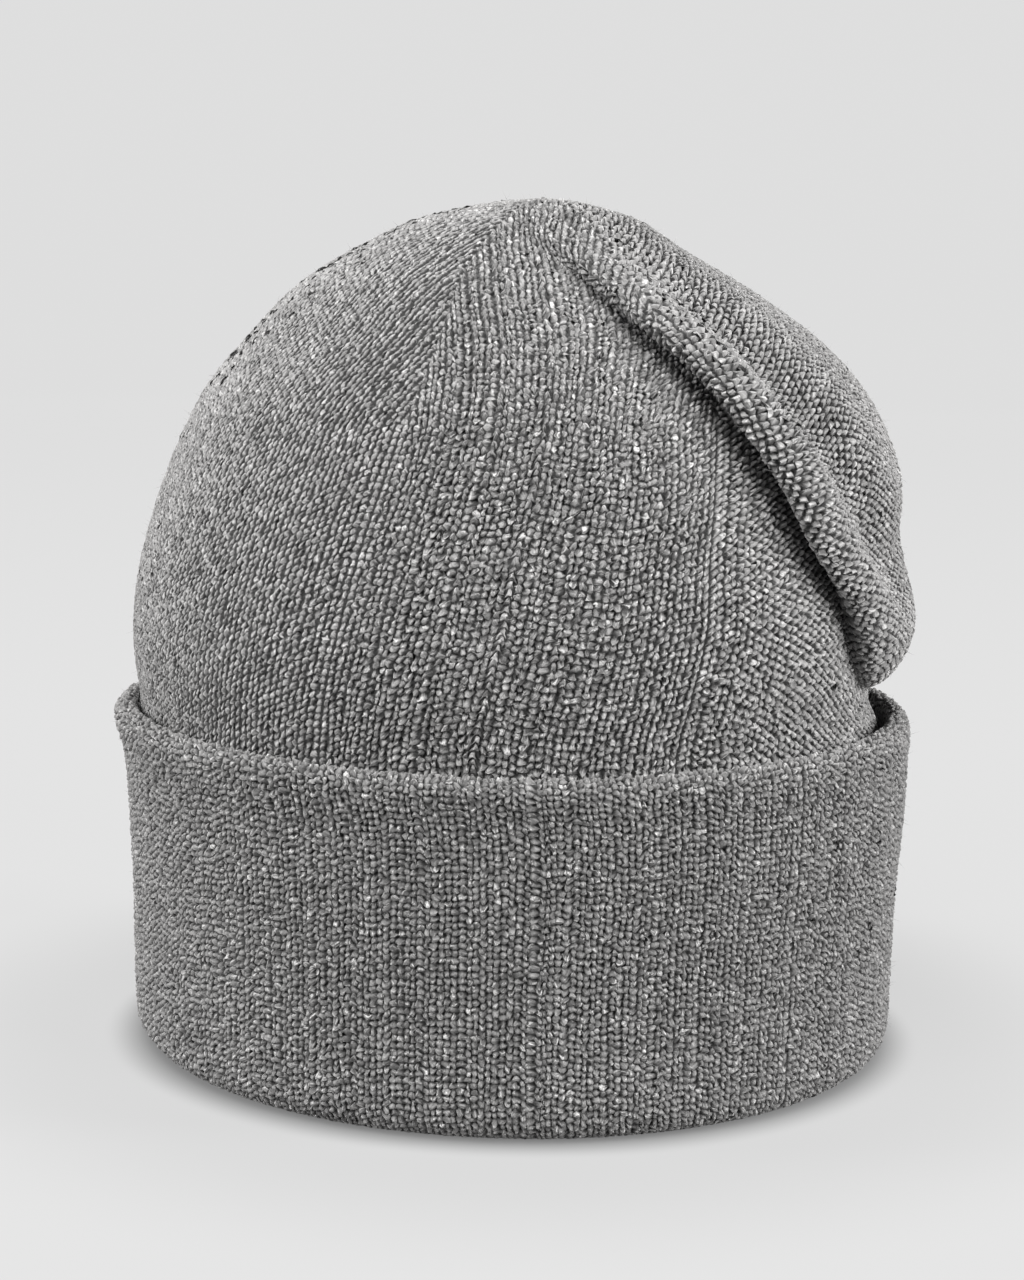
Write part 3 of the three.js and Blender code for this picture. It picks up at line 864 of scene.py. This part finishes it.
# Inner side of the cuff, its inner lip and the ring that it stands on
def make_cuff_inside(material):
    columns = CUFF_SKIN_COLUMNS
    azimuth = np.linspace(0, 2 * math.pi, columns, endpoint=False)
    held = [inside_cuff(height, CUFF_WALL) for height in CUFF_HELD_AT]
    sections = np.array([CUFF_EDGE_INSIDE[-1], *held, *CUFF_LIP_INSIDE, CUFF_OUTSIDE[0]])
    steps = np.linspace(0, len(sections) - 1, CUFF_SKIN_ROWS * (len(sections) - 1) + 1)
    rows = np.stack([np.interp(steps, np.arange(len(sections)), k) for k in sections.T], -1)
    rings = cuff_lift(section_points(rows[:, None], azimuth), azimuth)
    path = path_lengths(rings[:, 0])
    make_skin("cuff_inside", rings, path, False, material, "cuff")


# Short ways to add and join shader nodes
class Graph:
    def __init__(self, tree):
        self.tree = tree

    def add(self, kind, values=(), **settings):
        node = self.tree.nodes.new(kind)
        for name, value in settings.items():
            setattr(node, name, value)
        pairs = values.items() if isinstance(values, dict) else enumerate(values)
        for key, value in pairs:
            if isinstance(value, bpy.types.NodeSocket):
                self.tree.links.new(value, node.inputs[key])
            else:
                node.inputs[key].default_value = value
        return node

    def math(self, operation, *values):
        return self.add("ShaderNodeMath", values, operation=operation).outputs[0]

    def vector(self, operation, *values):
        return self.add("ShaderNodeVectorMath", values, operation=operation).outputs[0]

    def ramp(self, value, low, high, to_low=0.0, to_high=1.0, smooth=True):
        kind = "SMOOTHSTEP" if smooth else "LINEAR"
        values = (value, low, high, to_low, to_high)
        return self.add("ShaderNodeMapRange", values, interpolation_type=kind).outputs[0]

    def mix(self, share, first, second):
        return self.add("ShaderNodeMix", {0: share, 6: first, 7: second}, data_type="RGBA").outputs[2]

    def noise(self, place, scale, detail=2.0, roughness=0.5):
        values = {"Vector": place, "Scale": scale, "Detail": detail, "Roughness": roughness}
        return self.add("ShaderNodeTexNoise", values).outputs["Fac"]


# Place in the knit, in wales and courses, with the stitches' edges wandering a little
def stirred_place(g, knit, rope):
    knit = g.vector("MULTIPLY", knit, (1.0, 1.0, 0.0))
    for scale, in_front, at_sides in STIRS:
        noise = {"Vector": knit, "Scale": scale, "Detail": 1.0}
        stir = g.add("ShaderNodeTexNoise", noise).outputs["Color"]
        stir = g.vector("SUBTRACT", stir, (0.5, 0.5, 0.5))
        amount = g.ramp(rope, 0.0, 1.0, in_front, at_sides, False)
        amount = g.add("ShaderNodeCombineXYZ", (amount, amount, 0.0)).outputs[0]
        knit = g.vector("ADD", knit, g.vector("MULTIPLY", stir, amount))
    return knit


# Share of painted shade in the gap round a stitch, from the place across it and along it. The same
# share also lowers the fine relief there.
def gap_share(g, side, end, rope, lot, touch):
    ends = g.math("POWER", g.math("ABSOLUTE", end), 3.0)
    sides = g.math("POWER", g.math("ABSOLUTE", side), 3.0)
    front = g.math("SUBTRACT", 1.0, rope)
    beside = g.math("SUBTRACT", 1.0, g.math("MULTIPLY", ends, g.math("MULTIPLY", front, touch)))
    side_lot = g.ramp(lot[0], 0.0, 1.0, *GAP_LOTS, False)
    beside = g.math("MULTIPLY", beside, g.math("ADD", side_lot, rope))
    above = g.math("MULTIPLY", ends, g.ramp(lot[1], 0.0, 1.0, *GAP_LOTS, False))
    corner = g.math("MULTIPLY", ends, sides)
    gap = g.math("ADD", g.math("MULTIPLY", sides, beside), above)
    return g.ramp(g.math("ADD", gap, corner), *GAP_RAMP)


# Strands of the yarn, which cross the stitch in an arc, each stitch's at its own slant
def ply_noise(g, u, v, lot, tone):
    slant = g.math("MULTIPLY", g.math("SUBTRACT", lot[0], 0.5), PLY_SLANT)
    cosine = g.math("COSINE", slant)
    sine = g.math("SINE", slant)
    along = g.math("SUBTRACT", g.math("MULTIPLY", v, cosine), g.math("MULTIPLY", u, sine))
    across = g.math("ADD", g.math("MULTIPLY", u, cosine), g.math("MULTIPLY", v, sine))
    curve = g.math("SUBTRACT", g.math("MULTIPLY", lot[1], PLY_BOW), PLY_BOW / 2)
    across = g.math("ADD", across, g.math("MULTIPLY", g.math("MULTIPLY", along, along), curve))
    shift = g.math("MULTIPLY", tone, PLY_APART)
    place = g.add("ShaderNodeCombineXYZ", (
        g.math("MULTIPLY", across, PLY_ACROSS),
        g.math("MULTIPLY", along, PLY_ALONG),
        shift,
    )).outputs[0]
    return g.noise(place, *PLY_NOISE)


# Painted highlight on the middle of a stitch and painted shade towards its edge, stronger where the
# wales are like ropes
def painted_crest_light(g, side, end, rope):
    edge = g.math("MULTIPLY", g.math("MULTIPLY", end, end), CREST_ENDS)
    edge = g.math("ADD", g.math("MULTIPLY", side, side), edge)
    light = g.ramp(edge, *CREST_PAINTED_LIGHT_RAMP, False)
    return g.math("MULTIPLY", light, g.math("ADD", rope, CREST_FRONT))


# The yarn's colour: tone of the stitch, strands, the crest's painted highlight and shade, hairs, soft
# clouds, and pale flecks that are partly painted highlights
def yarn_colour(g, painted_crest, rope, plain, lot, tone, ply, hair, shade):
    plies = g.math("MULTIPLY", g.ramp(ply, *PLY_RAMP), plain)
    amount = g.math("ADD", g.math("MULTIPLY", tone, TONE_SHARE), g.math("ADD", plies, TONE_BASE))
    amount = g.math("ADD", amount, painted_crest)
    hairs = g.ramp(hair, *HAIR_RAMP, False)
    hairs = g.math("MULTIPLY", hairs, g.ramp(rope, 0.0, 1.0, 1.0, SIDE_HAIRS, False))
    amount = g.math("ADD", amount, hairs)
    place = g.add("ShaderNodeTexCoord").outputs["Object"]
    cloud = g.noise(place, *CLOUD_NOISE)
    amount = g.math("ADD", amount, g.ramp(cloud, *CLOUD_RAMP, False))
    light = [shade * channel for channel in YARN_LIGHT]
    colour = g.mix(amount, (*YARN_DARK, 1), (*light, 1))
    # Pale flecks, partly pale fibres and partly painted highlights
    bright = g.math("MULTIPLY", g.ramp(ply, *FLECK_PLY), g.ramp(lot[2], *FLECK_LOT))
    bright = g.math("MULTIPLY", bright, g.ramp(hair, *FLECK_HAIR))
    bright = g.math("MULTIPLY", bright, plain)
    return g.mix(g.math("MULTIPLY", bright, FLECK_SHARE), colour, (*PALE_FLECK_AND_HIGHLIGHT, 1))


# Matt yarn with a little fuzz. rise is the relief finer than the mesh.
def finish_yarn(g, colour, rise):
    bump_node = g.add("ShaderNodeBump", {"Strength": 0.8, "Distance": FINE_RELIEF, "Height": rise})
    shader = g.add("ShaderNodeBsdfPrincipled", {
        "Base Color": colour,
        "Roughness": 0.9,
        "Specular IOR Level": 0.3,
        "Sheen Weight": 0.12,
        "Sheen Roughness": 0.5,
        "Sheen Tint": (0.9, 0.89, 0.88, 1),
        "Normal": bump_node.outputs[0],
    })
    g.add("ShaderNodeOutputMaterial", (shader.outputs[0],))


def knit_material(name, taper, touch, shade):
    material = bpy.data.materials.new(name)
    material.use_nodes = True
    tree = material.node_tree
    tree.nodes.clear()
    g = Graph(tree)
    knit = g.add("ShaderNodeAttribute", attribute_name="knit").outputs["Vector"]
    rope = g.add("ShaderNodeSeparateXYZ", (knit,)).outputs[2]
    knit = stirred_place(g, knit, rope)
    cell = g.vector("FLOOR", knit)
    part = g.add("ShaderNodeSeparateXYZ", (g.vector("FRACTION", knit),)).outputs
    chance = g.add("ShaderNodeTexWhiteNoise", (cell,), noise_dimensions="3D")
    tone = chance.outputs["Value"]
    lot = g.add("ShaderNodeSeparateXYZ", (chance.outputs["Color"],)).outputs
    u = g.math("SUBTRACT", part[0], 0.5)
    v = g.math("SUBTRACT", part[1], 0.5)
    width = g.math("SUBTRACT", 0.5, g.math("MULTIPLY", g.math("ADD", v, 0.5), taper))
    side = g.math("DIVIDE", u, width)
    end = g.math("MULTIPLY", v, 2.0)
    gap = gap_share(g, side, end, rope, lot, touch)
    ply = ply_noise(g, u, v, lot, tone)
    place = g.add("ShaderNodeTexCoord").outputs["Object"]
    hair = g.noise(place, *HAIR_NOISE)
    plain = g.ramp(rope, 0.0, 1.0, 1.0, SIDE_PLAIN, False)
    # Painted highlight on each stitch's crest, painted shade at its edges
    painted_crest = painted_crest_light(g, side, end, rope)
    colour = yarn_colour(g, painted_crest, rope, plain, lot, tone, ply, hair, shade)
    # Painted shade in the gaps between the stitches
    colour = g.mix(g.math("MULTIPLY", gap, GAP_SHADE_SHARE), colour, (*GAP_PAINTED_SHADE, 1))
    # Relief finer than the mesh
    rise = g.math("MULTIPLY", g.math("SUBTRACT", 1.0, gap), FINE_GAP)
    finer = g.math("MULTIPLY", hair, FINE_HAIR)
    finer = g.math("ADD", g.math("MULTIPLY", ply, FINE_PLY), finer)
    rise = g.math("ADD", rise, g.math("MULTIPLY", finer, plain))
    finish_yarn(g, colour, rise)
    return material


def make_floor():
    fine = blend_rows(FLOOR_PROFILE, np.linspace(0, len(FLOOR_PROFILE) - 1, FLOOR_RINGS + 1))
    around = np.linspace(0, 2 * math.pi, FLOOR_COLUMNS, endpoint=False)
    x = fine[1:, :1] * np.cos(around)
    y = fine[1:, :1] * np.sin(around)
    points = np.stack(np.broadcast_arrays(x, y, np.maximum(fine[1:, 1:], 0)), -1).reshape(-1, 3)
    faces = [tuple(q) for q in ring_quads(FLOOR_RINGS, FLOOR_COLUMNS)[:, ::-1].tolist()]
    middle = len(points)
    faces += [(k, (k + 1) % FLOOR_COLUMNS, middle) for k in range(FLOOR_COLUMNS)]
    mesh = bpy.data.meshes.new("floor")
    mesh.from_pydata([*map(tuple, points), (0, 0, 0)], [], faces)
    mesh.shade_smooth()
    floor = bpy.data.objects.new("floor", mesh)
    bpy.context.scene.collection.objects.link(floor)
    material = bpy.data.materials.new("pale_floor")
    material.use_nodes = True
    shader = material.node_tree.nodes["Principled BSDF"]
    shader.inputs["Base Color"].default_value = FLOOR_GREY
    shader.inputs["Emission Color"].default_value = (1, 1, 1, 1)
    g = Graph(material.node_tree)
    place = g.add("ShaderNodeTexCoord").outputs["Object"]
    far = g.add("ShaderNodeVectorMath", (place,), operation="LENGTH").outputs["Value"]
    glow = g.math("ADD", g.ramp(far, *NEAR_GLOW), g.ramp(far, *FAR_GLOW))
    # Painted soft shadow round the foot of the hat
    glow = g.math("MULTIPLY", glow, g.ramp(far, *FOOT_PAINTED_SHADOW))
    material.node_tree.links.new(glow, shader.inputs["Emission Strength"])
    shader.inputs["Roughness"].default_value = 0.9
    shader.inputs["Specular IOR Level"].default_value = 0.1
    mesh.materials.append(material)


def make_light(name, place, size, power):
    data = bpy.data.lights.new(name, "AREA")
    data.shape = "DISK"
    data.size = size
    data.energy = power
    light = bpy.data.objects.new(name, data)
    bpy.context.scene.collection.objects.link(light)
    light.location = place
    back = Vector(place) - Vector(LAMP_AIM)
    light.rotation_euler = back.to_track_quat("Z", "Y").to_euler()


def make_lights():
    world = bpy.data.worlds.new("studio")
    world.use_nodes = True
    world.node_tree.nodes["Background"].inputs[0].default_value = (1, 1, 1, 1)
    world.node_tree.nodes["Background"].inputs[1].default_value = WORLD_GLOW
    bpy.context.scene.world = world
    for lamp in LIGHTS:
        make_light(*lamp)


def make_camera():
    data = bpy.data.cameras.new("camera")
    data.lens = FOCAL_SHARE * FILM_HEIGHT
    data.sensor_width = FILM_HEIGHT
    data.clip_start = 0.05
    data.clip_end = 50
    camera = bpy.data.objects.new("camera", data)
    bpy.context.scene.collection.objects.link(camera)
    tip = Matrix.Rotation(math.pi / 2 - CAMERA_TIP, 4, "X")
    turn = Matrix.Rotation(CAMERA_TURN, 4, "Z")
    camera.matrix_world = Matrix.Translation(CAMERA_PLACE) @ tip @ turn
    bpy.context.scene.camera = camera


bpy.context.scene.view_settings.view_transform = "Standard"
make_camera()
make_floor()
make_lights()
# The crown's copy of the yarn is painted lighter and the cuff's darker, to match their brightness
# under the lamps
crown_knit = knit_material("crown_knit", *CROWN_YARN)
cuff_knit = knit_material("cuff_knit", *CUFF_YARN)
make_crown(crown_knit)
make_crown_inside(crown_knit)
make_cuff(cuff_knit)
make_cuff_inside(cuff_knit)
